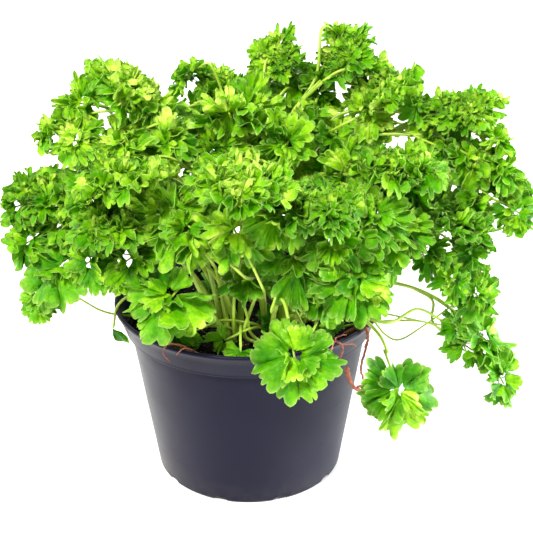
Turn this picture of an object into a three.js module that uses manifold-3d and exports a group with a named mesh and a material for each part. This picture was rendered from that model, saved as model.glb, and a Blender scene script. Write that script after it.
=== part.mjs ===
// Potted curly parsley: a tapered nursery pot filled with peat, four root crowns, and twenty-seven
// fronds, each a petiole (stem) that ends in one three-part blade (leaf).
// Millimetres, +Z up, -Y is the front. The origin is on the floor, on the pot's axis.
import * as THREE from "three";
import { mergeVertices } from "three/addons/utils/BufferGeometryUtils.js";
import Module from "manifold-3d";

const wasm = await Module();
wasm.setup();

const gap = 0.4; // clearance between neighbouring pieces

// ---------- driving dimensions ----------
const pot = {
  height: 96,
  footRadius: 50, // outside, at the floor
  shoulderRadius: 62, // outside, just under the rim band
  bandFoot: 82, // height of the band's lower edge
  bandRadius: 65, // outside, at the band's lower edge
  rimRadius: 70, // outside, at the top
  wall: 1.2,
  sides: 48,
};
const foot = { centreRadius: 26, channelLift: 2.5, slope: 2, outerWidth: 5 };
const drain = { count: 8, radius: 4, sides: 16 };
const soilTop = { height: 86, edgeDrop: 2.5, lumps: 0.8 };
const crown = { radius: 7, rise: 3.5, depth: 62, sides: 14 };
const stem = { baseRadius: 1.4, tipRadius: 0.85, sides: 6, steps: 10, ring: 5.2 };
const blade = { thickness: 1.1, cup: 0.42, ruffle: 0.045, ridge: 0.05 };

// ---------- materials ----------
const finish = (color, roughness) =>
  new THREE.MeshStandardMaterial({ color, roughness, metalness: 0 });
const potPlastic = finish(0x3b3a4c, 0.45);
const peat = finish(0x1d140f, 0.95);
const rootSkin = finish(0xb9a878, 0.8);
const petioleGreen = finish(0xa3c44a, 0.5);
const leafGreen = finish(0x58a51c, 0.5);

// ---------- plan of the plant ----------
// Where each root crown stands on the soil.
const crowns = {
  west: { x: -9, y: -28 },
  south: { x: 13, y: -33 },
  east: { x: 27, y: -14 },
  north: { x: 2, y: 12 },
};

// One row for each frond: the crown that it grows from, the middle of its blade (bearing in degrees
// round the pot from +X, reach from the pot's axis, height over the floor), the blade's length, how
// far its tip points above (+) or below (-) the level, and how far it leans round its midrib.
const fronds = [
  // hanging fronds, over and below the rim
  { from: "south", bearing: -77, reach: 92, height: 101, length: 44, tip: -55, lean: 5 },
  { from: "east", bearing: -39, reach: 93, height: 66, length: 48, tip: -74, lean: 34 },
  { from: "east", bearing: -7, reach: 126, height: 71, length: 48, tip: -48, lean: 10 },
  { from: "west", bearing: -120, reach: 77, height: 119, length: 50, tip: -26, lean: -8 },
  { from: "south", bearing: -53, reach: 84, height: 126, length: 50, tip: -50, lean: 0 },
  { from: "west", bearing: 196, reach: 98, height: 118, length: 54, tip: -35, lean: 0 },
  { from: "west", bearing: -91, reach: 48, height: 121, length: 33, tip: -10, lean: 0 },
  // side fronds, which make the outline
  { from: "west", bearing: 179, reach: 104, height: 150, length: 50, tip: 0, lean: -12 },
  { from: "west", bearing: 214, reach: 80, height: 149, length: 48, tip: -15, lean: 0 },
  { from: "east", bearing: -10, reach: 104, height: 141, length: 54, tip: -30, lean: 0 },
  { from: "east", bearing: 6, reach: 131, height: 149, length: 48, tip: -25, lean: -12 },
  { from: "east", bearing: 2, reach: 116, height: 193, length: 46, tip: 5, lean: 10 },
  { from: "north", bearing: 140, reach: 98, height: 142, length: 58, tip: -15, lean: 0 },
  { from: "north", bearing: 110, reach: 90, height: 114, length: 54, tip: -30, lean: 0 },
  { from: "north", bearing: 52, reach: 98, height: 146, length: 58, tip: -15, lean: 0 },
  { from: "north", bearing: 92, reach: 96, height: 168, length: 58, tip: -5, lean: 0 },
  // shoulder fronds, facing out and up
  { from: "south", bearing: -92, reach: 76, height: 178, length: 54, tip: -12, lean: -6 },
  { from: "west", bearing: -140, reach: 77, height: 173, length: 52, tip: -8, lean: 8 },
  { from: "south", bearing: -63, reach: 73, height: 165, length: 48, tip: -14, lean: 6 },
  { from: "north", bearing: -24, reach: 82, height: 172, length: 52, tip: 0, lean: 0 },
  { from: "west", bearing: 181, reach: 66, height: 208, length: 56, tip: 32, lean: -10 },
  { from: "north", bearing: 106, reach: 58, height: 201, length: 46, tip: 30, lean: 0 },
  // upright fronds, in the crown of the plant
  { from: "east", bearing: 4, reach: 75, height: 203, length: 50, tip: 20, lean: 0 },
  { from: "north", bearing: 22, reach: 59, height: 220, length: 46, tip: 35, lean: 0 },
  { from: "north", bearing: 60, reach: 36, height: 221, length: 42, tip: 45, lean: 0 },
  { from: "east", bearing: -6, reach: 29, height: 182, length: 46, tip: 45, lean: 0 },
  { from: "west", bearing: 254, reach: 26, height: 194, length: 48, tip: 50, lean: 0 },
];

// ---------- helpers ----------
const radians = THREE.MathUtils.degToRad;
const up = new THREE.Vector3(0, 0, 1);

// A point from its bearing round the pot's axis, its reach and its height.
const polar = (bearing, reach, height) =>
  new THREE.Vector3(
    reach * Math.cos(radians(bearing)),
    reach * Math.sin(radians(bearing)),
    height,
  );

// A closed solid of revolution about Z, from a profile of [radius, height] pairs.
function turned(profile, sides) {
  const points = profile.map(([r, z]) => new THREE.Vector2(r, z));
  return new THREE.LatheGeometry(points, sides).rotateX(Math.PI / 2);
}

// A geometry with its shared vertices merged, holding positions only.
function bare(geometry) {
  const copy = geometry.clone();
  copy.deleteAttribute("normal");
  copy.deleteAttribute("uv");
  return mergeVertices(copy, 1e-3);
}

function toSolid(geometry) {
  const merged = bare(geometry);
  return new wasm.Manifold(
    new wasm.Mesh({
      numProp: 3,
      vertProperties: merged.attributes.position.array,
      triVerts: new Uint32Array(merged.index.array),
    }),
  );
}

function toGeometry(solid) {
  const { vertProperties, triVerts } = solid.getMesh();
  const geometry = new THREE.BufferGeometry();
  geometry.setAttribute("position", new THREE.BufferAttribute(vertProperties, 3));
  geometry.setIndex(new THREE.BufferAttribute(triVerts, 1));
  return geometry;
}

function named(name, geometry, material) {
  const mesh = new THREE.Mesh(geometry, material);
  mesh.name = name;
  return mesh;
}

// ---------- pot ----------
// Outside radius of the tapered wall at a height.
const wallRadius = (z) =>
  pot.footRadius + ((pot.shoulderRadius - pot.footRadius) * z) / pot.bandFoot;

// The inside of the pot from the axis to the top of the soil, drawn in by a margin.
function innerProfile(margin) {
  const floor = pot.wall + margin;
  const inset = pot.wall + margin;
  const channelIn = foot.centreRadius + foot.slope - margin;
  const channelOut = pot.footRadius - foot.outerWidth - foot.slope + margin;
  return [
    [0, floor],
    [foot.centreRadius - margin, floor],
    [channelIn, floor + foot.channelLift],
    [channelOut, floor + foot.channelLift],
    [channelOut + foot.slope, floor],
    [wallRadius(floor) - inset, floor],
    [pot.shoulderRadius - inset, pot.bandFoot + margin],
    [pot.bandRadius - inset, pot.bandFoot + pot.wall + margin],
  ];
}

function makePot() {
  const edge = 2.5; // radius of the rounded bottom corner
  const channelIn = foot.centreRadius + foot.slope;
  const channelOut = pot.footRadius - foot.outerWidth - foot.slope;
  const lip = 2;
  const corner = [15, 45, 75].map((angle) => [
    pot.footRadius - edge + edge * Math.sin(radians(angle)),
    edge - edge * Math.cos(radians(angle)),
  ]);
  const outside = [
    [0, 0],
    [foot.centreRadius, 0],
    [channelIn, foot.channelLift],
    [channelOut, foot.channelLift],
    [channelOut + foot.slope, 0],
    [pot.footRadius - edge, 0],
    ...corner,
    [pot.shoulderRadius, pot.bandFoot],
    [pot.bandRadius, pot.bandFoot + 0.3],
    [pot.rimRadius - 0.5, pot.height - lip],
    [pot.rimRadius, pot.height - lip / 2],
    [pot.rimRadius - 0.6, pot.height],
    [pot.rimRadius - lip, pot.height],
  ];
  const inside = innerProfile(0).reverse();
  const shell = toSolid(turned([...outside, ...inside], pot.sides));
  // Drain holes, through the raised channel in the floor.
  const holeRing = (channelIn + channelOut) / 2;
  const holes = Array.from({ length: drain.count }, (_, i) => {
    const at = polar((i * 360) / drain.count, holeRing, foot.channelLift);
    const hole = new THREE.CylinderGeometry(drain.radius, drain.radius, 10, drain.sides);
    return toSolid(hole.rotateX(Math.PI / 2).translate(at.x, at.y, at.z));
  });
  const drilled = holes.reduce((solid, hole) => solid.subtract(hole), shell);
  return named("pot", toGeometry(drilled), potPlastic);
}

// ---------- roots ----------
// A taproot: a low dome where the petioles sprout, swollen below it, then a long taper.
function taproot({ x, y }, margin = 0) {
  const top = soilTop.height + crown.rise;
  const tip = soilTop.height - crown.depth - margin;
  const profile = [
    [0, top + margin],
    [crown.radius * 0.85, top - 0.8 + margin],
    [crown.radius, top - 3],
    [crown.radius * 0.95, soilTop.height - 12],
    [crown.radius * 0.45, soilTop.height - crown.depth * 0.6],
    [1, tip],
    [0, tip],
  ].map(([r, z]) => [r > 0 ? r + margin : 0, z]);
  return turned(profile.reverse(), crown.sides).translate(x, y, 0);
}

// ---------- soil ----------
function makeSoil() {
  const rimOfSoil = pot.bandRadius - pot.wall - gap;
  const edgeHeight = soilTop.height - soilTop.edgeDrop;
  const top = [
    [rimOfSoil, edgeHeight + 1],
    [rimOfSoil * 0.8, edgeHeight + 1.6],
    [rimOfSoil * 0.5, soilTop.height - 0.6],
    [rimOfSoil * 0.25, soilTop.height],
    [0, soilTop.height],
  ];
  const plug = turned([...innerProfile(gap), ...top], 36);
  // The upper surface is slightly lumpy.
  const position = plug.attributes.position;
  for (let i = 0; i < position.count; i++) {
    const [x, y, z] = [position.getX(i), position.getY(i), position.getZ(i)];
    if (z < edgeHeight + 0.9) continue;
    const lump = Math.sin(x * 0.21 + 1) * Math.cos(y * 0.17) + Math.sin(x * 0.09 - y * 0.13);
    position.setZ(i, z + (lump * soilTop.lumps) / 2);
  }
  const holed = Object.values(crowns).reduce(
    (solid, place) => solid.subtract(toSolid(taproot(place, gap))),
    toSolid(plug),
  );
  return named("soil", toGeometry(holed), peat);
}

// ---------- stems ----------
const hexagon = new THREE.Shape(
  Array.from({ length: stem.sides }, (_, i) =>
    new THREE.Vector2(1, 0).rotateAround(new THREE.Vector2(), (i * 2 * Math.PI) / stem.sides),
  ),
);

// A tube along a curve whose radius goes evenly from one end's to the other's.
function taperedTube(curve, fromRadius, toRadius) {
  const tube = new THREE.ExtrudeGeometry(hexagon, {
    extrudePath: curve,
    steps: stem.steps,
    bevelEnabled: false,
  });
  const centres = curve.getSpacedPoints(stem.steps);
  const position = tube.attributes.position;
  const vertex = new THREE.Vector3();
  for (let i = 0; i < position.count; i++) {
    vertex.fromBufferAttribute(position, i);
    const ring = centres.reduce(
      (best, c, k) => (c.distanceTo(vertex) < centres[best].distanceTo(vertex) ? k : best),
      0,
    );
    const radius = THREE.MathUtils.lerp(fromRadius, toRadius, ring / stem.steps);
    vertex.sub(centres[ring]).setLength(radius).add(centres[ring]);
    position.setXYZ(i, vertex.x, vertex.y, vertex.z);
  }
  return tube;
}

// The petiole: it leaves the crown steeply, arches over and runs into the blade along its midrib.
function stemCurve(foot0, fork, forward) {
  const reach = foot0.distanceTo(fork);
  const outward = fork.clone().sub(foot0).setZ(0);
  const rising = foot0
    .clone()
    .addScaledVector(up, reach * 0.42)
    .addScaledVector(outward, 0.12);
  const arriving = fork.clone().addScaledVector(forward, -reach * 0.35);
  return new THREE.CubicBezierCurve3(foot0, rising, arriving, fork);
}

// ---------- blades ----------
// Half of the blade's outline, from the fork to the tip: [along the midrib, across], as shares of
// the blade's length. Two side leaflets and an end leaflet, each with three lobes.
const halfOutline = [
  [0.0, 0.02],
  [0.13, 0.1],
  [0.05, 0.24],
  [0.12, 0.38],
  [0.21, 0.36],
  [0.24, 0.53],
  [0.38, 0.51],
  [0.4, 0.38],
  [0.54, 0.4],
  [0.55, 0.27],
  [0.47, 0.15],
  [0.63, 0.25],
  [0.77, 0.28],
  [0.8, 0.16],
  [0.95, 0.14],
  [1.0, 0.0],
];

// The blade as a thin plate: a fan of folds from its middle out to the outline, domed so that its
// edge turns down, with every other point of the outline raised and lowered by the ruffle.
function bladeGeometry(length) {
  const right = halfOutline.map(([u, v]) => [u, -v]);
  const left = halfOutline.slice(0, -1).reverse();
  const outline = [...right, ...left];
  const middle = 0.42;
  const dome = (u, v) => blade.cup * (middle ** 2 - (u - middle) ** 2 - v ** 2);
  const point = (u, v, lift) =>
    new THREE.Vector3(u * length, v * length, (lift + dome(u, v)) * length);
  const rim = outline.map(([u, v], i) => point(u, v, i % 2 ? blade.ruffle : -blade.ruffle));
  const hub = point(middle, 0, blade.ridge);
  const half = new THREE.Vector3(0, 0, blade.thickness / 2);
  const upper = [hub, ...rim].map((p) => p.clone().add(half));
  const lower = [hub, ...rim].map((p) => p.clone().sub(half));
  const count = rim.length;
  const faces = [];
  for (let i = 0; i < count; i++) {
    const here = 1 + i;
    const next = 1 + ((i + 1) % count);
    const below = upper.length;
    faces.push(0, here, next, below, below + next, below + here);
    faces.push(here, below + here, next, next, below + here, below + next);
  }
  const geometry = new THREE.BufferGeometry().setFromPoints([...upper, ...lower]);
  return geometry.setIndex(faces);
}

// ---------- one frond ----------
// Where a frond's blade lies: its fork, the way to its tip, its left and its upper face's normal.
function bladePlace({ bearing, reach, height, length, tip, lean }) {
  const outward = polar(bearing, 1, 0);
  const forward = outward
    .clone()
    .multiplyScalar(Math.cos(radians(tip)))
    .addScaledVector(up, Math.sin(radians(tip)));
  const left = up.clone().cross(outward).applyAxisAngle(forward, radians(lean));
  const normal = forward.clone().cross(left);
  const middle = polar(bearing, reach, height);
  const fork = middle.addScaledVector(forward, -length / 2);
  return { fork, forward, left, normal };
}

function makeFrond(row, number, standsAt) {
  const { fork, forward, left, normal } = bladePlace(row);
  const tag = String(number).padStart(2, "0");
  const leaf = named(`leaf_${tag}`, bladeGeometry(row.length), leafGreen);
  leaf.matrixAutoUpdate = false;
  leaf.matrix.makeBasis(forward, left, normal).setPosition(fork);
  const stalkEnd = fork.clone().addScaledVector(forward, -gap - stem.tipRadius / 2);
  const curve = stemCurve(standsAt, stalkEnd, forward);
  const tube = taperedTube(curve, stem.baseRadius, stem.tipRadius);
  return [named(`stem_${tag}`, tube, petioleGreen), leaf];
}

// The petioles of one crown stand evenly round it, in the order of their blades' bearings from it.
function stemFeet(name) {
  const centre = new THREE.Vector3(crowns[name].x, crowns[name].y, 0);
  const turn = (row) => {
    const { fork } = bladePlace(row);
    return Math.atan2(fork.y - centre.y, fork.x - centre.x);
  };
  const rows = fronds.filter((row) => row.from === name).sort((a, b) => turn(a) - turn(b));
  const even = rows.map((_, i) => (i * 2 * Math.PI) / rows.length);
  // Turn the even ring to where it fits the bearings best.
  const sine = rows.reduce((sum, row, i) => sum + Math.sin(turn(row) - even[i]), 0);
  const cosine = rows.reduce((sum, row, i) => sum + Math.cos(turn(row) - even[i]), 0);
  const start = Math.atan2(sine, cosine);
  const height = soilTop.height + crown.rise + gap + 0.2;
  return new Map(
    rows.map((row, i) => {
      const angle = start + even[i];
      const offset = new THREE.Vector3(Math.cos(angle), Math.sin(angle), 0);
      return [row, centre.clone().addScaledVector(offset, stem.ring).setZ(height)];
    }),
  );
}

// ---------- the whole plant ----------
const plant = new THREE.Group();
plant.add(makePot(), makeSoil());
for (const [name, place] of Object.entries(crowns)) {
  plant.add(named(`root_${name}`, taproot(place), rootSkin));
}
const feet = new Map(Object.keys(crowns).flatMap((name) => [...stemFeet(name)]));
fronds.forEach((row, i) => plant.add(...makeFrond(row, i + 1, feet.get(row))));

export default plant;
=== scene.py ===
import math
import bpy
import bmesh
import numpy as np
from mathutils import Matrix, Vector


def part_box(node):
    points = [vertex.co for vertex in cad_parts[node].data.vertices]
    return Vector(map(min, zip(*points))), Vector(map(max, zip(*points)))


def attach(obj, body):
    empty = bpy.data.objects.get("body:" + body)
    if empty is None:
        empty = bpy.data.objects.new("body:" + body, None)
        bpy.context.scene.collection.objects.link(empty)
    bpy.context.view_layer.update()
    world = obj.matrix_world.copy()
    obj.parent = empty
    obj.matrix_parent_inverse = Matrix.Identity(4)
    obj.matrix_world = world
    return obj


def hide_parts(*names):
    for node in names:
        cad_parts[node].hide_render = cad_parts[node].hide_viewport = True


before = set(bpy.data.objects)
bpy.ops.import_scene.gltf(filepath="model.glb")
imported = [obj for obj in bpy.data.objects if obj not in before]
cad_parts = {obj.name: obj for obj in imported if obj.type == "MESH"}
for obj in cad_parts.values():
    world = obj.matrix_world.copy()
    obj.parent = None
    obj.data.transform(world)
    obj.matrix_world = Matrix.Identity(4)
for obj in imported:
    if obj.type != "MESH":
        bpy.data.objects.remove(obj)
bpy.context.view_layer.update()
print("frame loaded:", len(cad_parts), "nodes")

mm = 0.001
frondTags = sorted(name[5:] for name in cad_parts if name.startswith("leaf_"))
potBottom, potTop = (np.array(corner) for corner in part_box("pot"))
rimRadius = (potTop[0] - potBottom[0]) / 2
potHeight = potTop[2]
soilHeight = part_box("soil")[1][2]


# camera

cameraSettings = {
    "target": (0.0, 0.0, 112 * mm),
    "distance": 571.3 * mm,
    "lookDown": 23.56,  # degrees
    "turnRight": 0.94,
    "roll": -0.4,
    "lens": 74.3,
}


def makeCamera(settings):
    pitch, turn, roll = (math.radians(settings[key]) for key in ("lookDown", "turnRight", "roll"))
    level = np.array([0, math.cos(pitch), -math.sin(pitch)])
    right = np.array([1.0, 0, 0])
    above = np.cross(right, level)
    place = np.array(settings["target"]) - level * settings["distance"]
    aim = level * math.cos(turn) + right * math.sin(turn)
    side = right * math.cos(turn) - level * math.sin(turn)
    matrix = np.eye(4)
    matrix[:3, 0] = side * math.cos(roll) + above * math.sin(roll)
    matrix[:3, 1] = above * math.cos(roll) - side * math.sin(roll)
    matrix[:3, 2] = -aim
    matrix[:3, 3] = place
    camera = bpy.data.objects.new("camera", bpy.data.cameras.new("camera"))
    camera.matrix_world = matrix.T.tolist()
    camera.data.lens = settings["lens"]
    camera.data.clip_start = 0.01
    bpy.context.collection.objects.link(camera)
    bpy.context.scene.camera = camera


# light and floor

studio = {
    "sky": 0.62,
    "floorColor": (0.93, 0.93, 0.92),
    "lamps": [
        {"name": "key", "place": (-0.40, -0.80, 1.15), "size": 0.30, "watts": 30,
         "color": (1.0, 0.98, 0.92)},
        {"name": "back", "place": (0.3, 0.9, 0.9), "size": 0.7, "watts": 12,
         "color": (1.0, 1.0, 1.0)},
        {"name": "left", "place": (-0.95, 0.20, 0.35), "size": 0.7, "watts": 10,
         "color": (1.0, 0.92, 0.82)},
        {"name": "right", "place": (0.95, 0.05, 0.26), "size": 0.6, "watts": 26,
         "color": (0.97, 0.98, 1.0)},
    ],
}


def makeStudio(settings):
    world = bpy.data.worlds.new("studio")
    world.use_nodes = True
    background = world.node_tree.nodes["Background"]
    background.inputs["Color"].default_value = (1, 1, 1, 1)
    background.inputs["Strength"].default_value = settings["sky"]
    bpy.context.scene.world = world
    bpy.context.scene.view_settings.view_transform = "Standard"
    for row in settings["lamps"]:
        data = bpy.data.lights.new(row["name"], "AREA")
        data.shape = "DISK"
        data.size = row["size"]
        data.energy = row["watts"]
        data.color = row["color"]
        lamp = bpy.data.objects.new(row["name"], data)
        lamp.location = row["place"]
        toPlant = Vector(cameraSettings["target"]) - Vector(row["place"])
        lamp.rotation_euler = toPlant.to_track_quat("-Z", "Y").to_euler()
        bpy.context.collection.objects.link(lamp)
    # a floor that sweeps up behind into a wall
    profile = [(-3.0, 0.0), (2.0, 0.0), (2.6, 0.12), (2.9, 0.5), (3.0, 1.2), (3.0, 4.0)]
    points = [(x, y, z) for y, z in profile for x in (-4.0, 4.0)]
    faces = [(2 * i, 2 * i + 1, 2 * i + 3, 2 * i + 2) for i in range(len(profile) - 1)]
    mesh = bpy.data.meshes.new("floor")
    mesh.from_pydata(points, [], faces)
    floor = bpy.data.objects.new("floor", mesh)
    bpy.context.collection.objects.link(floor)
    material = bpy.data.materials.new("floorPaper")
    material.use_nodes = True
    shader = material.node_tree.nodes["Principled BSDF"]
    shader.inputs["Base Color"].default_value = (*settings["floorColor"], 1)
    shader.inputs["Roughness"].default_value = 0.9
    shader.inputs["Specular IOR Level"].default_value = 0.1
    mesh.materials.append(material)


makeCamera(cameraSettings)
makeStudio(studio)
print("camera, floor and light made")


# shader node groups

def newGroup(name, inputs, outputs):
    group = bpy.data.node_groups.new(name, "ShaderNodeTree")
    for label, kind, value in inputs:
        socket = group.interface.new_socket(label, in_out="INPUT", socket_type=kind)
        socket.default_value = value
    for label, kind in outputs:
        group.interface.new_socket(label, in_out="OUTPUT", socket_type=kind)
    nodes = group.nodes
    return group, nodes, group.links, nodes.new("NodeGroupInput"), nodes.new("NodeGroupOutput")


# uneven patches, from Low to High
def makeMottleGroup():
    group, nodes, links, given, result = newGroup(
        "mottle",
        [("Scale", "NodeSocketFloat", 100.0), ("Detail", "NodeSocketFloat", 3.0),
         ("Low", "NodeSocketFloat", 0.0), ("High", "NodeSocketFloat", 1.0)],
        [("Value", "NodeSocketFloat")],
    )
    place = nodes.new("ShaderNodeTexCoord")
    noise = nodes.new("ShaderNodeTexNoise")
    spread = nodes.new("ShaderNodeMapRange")
    spread.inputs["From Min"].default_value = 0.3
    spread.inputs["From Max"].default_value = 0.7
    links.new(place.outputs["Object"], noise.inputs["Vector"])
    links.new(given.outputs["Scale"], noise.inputs["Scale"])
    links.new(given.outputs["Detail"], noise.inputs["Detail"])
    links.new(noise.outputs["Fac"], spread.inputs["Value"])
    links.new(given.outputs["Low"], spread.inputs["To Min"])
    links.new(given.outputs["High"], spread.inputs["To Max"])
    links.new(spread.outputs["Result"], result.inputs["Value"])
    return group


# fine relief, as a normal
def makeGrainGroup():
    group, nodes, links, given, result = newGroup(
        "grain",
        [("Scale", "NodeSocketFloat", 1000.0), ("Depth", "NodeSocketFloat", 0.0001),
         ("Stretch", "NodeSocketVector", (1.0, 1.0, 1.0))],
        [("Normal", "NodeSocketVector")],
    )
    place = nodes.new("ShaderNodeTexCoord")
    stretch = nodes.new("ShaderNodeVectorMath")
    stretch.operation = "MULTIPLY"
    noise = nodes.new("ShaderNodeTexNoise")
    bump = nodes.new("ShaderNodeBump")
    links.new(place.outputs["Object"], stretch.inputs[0])
    links.new(given.outputs["Stretch"], stretch.inputs[1])
    links.new(stretch.outputs["Vector"], noise.inputs["Vector"])
    links.new(given.outputs["Scale"], noise.inputs["Scale"])
    links.new(noise.outputs["Fac"], bump.inputs["Height"])
    links.new(given.outputs["Depth"], bump.inputs["Distance"])
    links.new(bump.outputs["Normal"], result.inputs["Normal"])
    return group


mottleGroup = makeMottleGroup()
grainGroup = makeGrainGroup()


def newMaterial(name):
    material = bpy.data.materials.new(name)
    material.use_nodes = True
    tree = material.node_tree
    return material, tree.nodes, tree.links, tree.nodes["Principled BSDF"]


def placeGroup(nodes, group, **values):
    node = nodes.new("ShaderNodeGroup")
    node.node_tree = group
    for label, value in values.items():
        node.inputs[label].default_value = value
    return node


def colorRamp(nodes, stops):
    ramp = nodes.new("ShaderNodeValToRGB")
    elements = ramp.color_ramp.elements
    while len(elements) < len(stops):
        elements.new(0.5)
    for element, (at, color) in zip(elements, stops):
        element.position = at
        element.color = (*color, 1)
    return ramp


def mathNode(nodes, links, operation, *inputs):
    node = nodes.new("ShaderNodeMath")
    node.operation = operation
    for socket, value in zip(node.inputs, inputs):
        if isinstance(value, (int, float)):
            socket.default_value = value
        else:
            links.new(value, socket)
    return node.outputs[0]


def mixColors(nodes, links, factor, first, second):
    node = nodes.new("ShaderNodeMix")
    node.data_type = "RGBA"
    links.new(factor, node.inputs[0])
    for socket, value in ((node.inputs[6], first), (node.inputs[7], second)):
        if isinstance(value, tuple):
            socket.default_value = (*value, 1)
        else:
            links.new(value, socket)
    return node.outputs[2]


# materials; every mesh here carries "tone" (0 dark to 1 light), "vein" (0 on a vein, 1 between veins)
# and "edge" (on a leaf 1 at the margin, on a stalk 1 on a ridge, on the pot 1 at its foot)

def attributeValue(nodes, name):
    node = nodes.new("ShaderNodeAttribute")
    node.attribute_name = name
    return node.outputs["Fac"]


# a ramp's colour by tone, made uneven by patches
def patchyColor(nodes, links, stops, scale, depth, detail=3.0):
    patches = placeGroup(nodes, mottleGroup, Scale=scale, Detail=detail, Low=-depth, High=depth)
    tone = mathNode(nodes, links, "ADD", attributeValue(nodes, "tone"), patches.outputs["Value"])
    ramp = colorRamp(nodes, stops)
    links.new(tone, ramp.inputs["Fac"])
    return ramp.outputs["Color"]


leafFinish = {
    "patches": ((45.0, 0.18), (160.0, 0.18), (700.0, 0.08)),  # scale and depth
    "stops": [
        (0.0, (0.010, 0.085, 0.001)),
        (0.3, (0.040, 0.225, 0.001)),
        (0.6, (0.130, 0.390, 0.002)),
        (0.85, (0.330, 0.620, 0.010)),
        (1.0, (0.660, 0.860, 0.120)),
    ],
    # pale margin colour: partly the leaf's own pale edge, partly a painted highlight
    "margin": (0.68, 0.90, 0.22),
    "marginShare": 0.45,
    "marginPower": 14.0,
    "vein": (0.22, 0.50, 0.01),
    "veinShare": 0.12,
    "veinPower": 9.0,
    "throughLight": (0.32, 0.74, 0.004, 1),
    "throughShare": 0.30,
    "roughness": (0.30, 0.50),
    "specular": 0.14,
}


def makeLeafMaterial(finish):
    material, nodes, links, shader = newMaterial("leafTissue")
    tone = attributeValue(nodes, "tone")
    for scale, depth in finish["patches"]:
        patches = placeGroup(nodes, mottleGroup, Scale=scale, Detail=2.0, Low=-depth, High=depth)
        tone = mathNode(nodes, links, "ADD", tone, patches.outputs["Value"])
    ramp = colorRamp(nodes, finish["stops"])
    links.new(tone, ramp.inputs["Fac"])
    edge = attributeValue(nodes, "edge")
    # a pale band at the margin, partly the leaf's own pale edge and partly a painted highlight
    margin = mathNode(nodes, links, "POWER", edge, finish["marginPower"])
    margin = mathNode(nodes, links, "MULTIPLY", margin, finish["marginShare"])
    vein = mathNode(nodes, links, "SUBTRACT", 1.0, attributeValue(nodes, "vein"))
    vein = mathNode(nodes, links, "POWER", vein, finish["veinPower"])
    veinMix = mathNode(nodes, links, "MULTIPLY", vein, finish["veinShare"])
    color = mixColors(nodes, links, veinMix, ramp.outputs["Color"], finish["vein"])
    color = mixColors(nodes, links, margin, color, finish["margin"])
    links.new(color, shader.inputs["Base Color"])
    shine = placeGroup(nodes, mottleGroup, Scale=300.0, Low=finish["roughness"][0],
                       High=finish["roughness"][1])
    links.new(shine.outputs["Value"], shader.inputs["Roughness"])
    shader.inputs["Specular IOR Level"].default_value = finish["specular"]
    wrinkle = placeGroup(nodes, grainGroup, Scale=520.0, Depth=0.0009)
    relief = nodes.new("ShaderNodeBump")
    relief.inputs["Distance"].default_value = 0.0002
    relief.inputs["Strength"].default_value = 0.3
    links.new(mathNode(nodes, links, "MULTIPLY", vein, -1.0), relief.inputs["Height"])
    links.new(wrinkle.outputs["Normal"], relief.inputs["Normal"])
    links.new(relief.outputs["Normal"], shader.inputs["Normal"])
    # light that comes through the thin leaf
    through = nodes.new("ShaderNodeBsdfTranslucent")
    through.inputs["Color"].default_value = finish["throughLight"]
    both = nodes.new("ShaderNodeMixShader")
    both.inputs["Fac"].default_value = finish["throughShare"]
    links.new(shader.outputs["BSDF"], both.inputs[1])
    links.new(through.outputs["BSDF"], both.inputs[2])
    links.new(both.outputs["Shader"], nodes["Material Output"].inputs["Surface"])
    return material


petioleFinish = {
    "stops": [
        (0.0, (0.12, 0.26, 0.010)),
        (0.5, (0.34, 0.51, 0.035)),
        (1.0, (0.62, 0.74, 0.16)),
    ],
}


def makePetioleMaterial(finish):
    material, nodes, links, shader = newMaterial("petioleSkin")
    patches = placeGroup(nodes, mottleGroup, Scale=120.0, Low=-0.15, High=0.15)
    tone = mathNode(nodes, links, "ADD", attributeValue(nodes, "tone"), patches.outputs["Value"])
    ridge = mathNode(nodes, links, "MULTIPLY", attributeValue(nodes, "edge"), 0.3)
    tone = mathNode(nodes, links, "ADD", tone, ridge)
    ramp = colorRamp(nodes, finish["stops"])
    links.new(tone, ramp.inputs["Fac"])
    links.new(ramp.outputs["Color"], shader.inputs["Base Color"])
    shine = placeGroup(nodes, mottleGroup, Scale=500.0, Low=0.32, High=0.5)
    links.new(shine.outputs["Value"], shader.inputs["Roughness"])
    fibre = placeGroup(nodes, grainGroup, Scale=1500.0, Depth=0.0001, Stretch=(1.0, 1.0, 0.15))
    links.new(fibre.outputs["Normal"], shader.inputs["Normal"])
    return material


peatFinish = {
    "stops": [
        (0.0, (0.0015, 0.0010, 0.0010)),
        (0.5, (0.0060, 0.0038, 0.0030)),
        (0.75, (0.026, 0.012, 0.007)),
        (0.85, (0.20, 0.075, 0.035)),
        (1.0, (0.62, 0.52, 0.44)),
    ],
    "specular": 0.15,
}


def makePeatMaterial(finish):
    material, nodes, links, shader = newMaterial("peat")
    color = patchyColor(nodes, links, finish["stops"], 400.0, 0.2, 5.0)
    links.new(color, shader.inputs["Base Color"])
    damp = placeGroup(nodes, mottleGroup, Scale=250.0, Low=0.55, High=0.95)
    links.new(damp.outputs["Value"], shader.inputs["Roughness"])
    shader.inputs["Specular IOR Level"].default_value = finish["specular"]
    crumb = placeGroup(nodes, grainGroup, Scale=1100.0, Depth=0.0012)
    links.new(crumb.outputs["Normal"], shader.inputs["Normal"])
    return material


rootFinish = {
    "stops": [(0.0, (0.16, 0.10, 0.05)), (0.5, (0.40, 0.31, 0.15)), (1.0, (0.20, 0.26, 0.06))],
}


def makeRootMaterial(finish):
    material, nodes, links, shader = newMaterial("rootSkin")
    color = patchyColor(nodes, links, finish["stops"], 300.0, 0.35, 5.0)
    links.new(color, shader.inputs["Base Color"])
    shader.inputs["Roughness"].default_value = 0.75
    skin = placeGroup(nodes, grainGroup, Scale=900.0, Depth=0.0006, Stretch=(1.0, 1.0, 2.5))
    links.new(skin.outputs["Normal"], shader.inputs["Normal"])
    return material


dryFinish = {"stops": [(0.0, (0.10, 0.02, 0.01)), (0.6, (0.30, 0.08, 0.04)), (1.0, (0.55, 0.28, 0.14))]}


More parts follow.
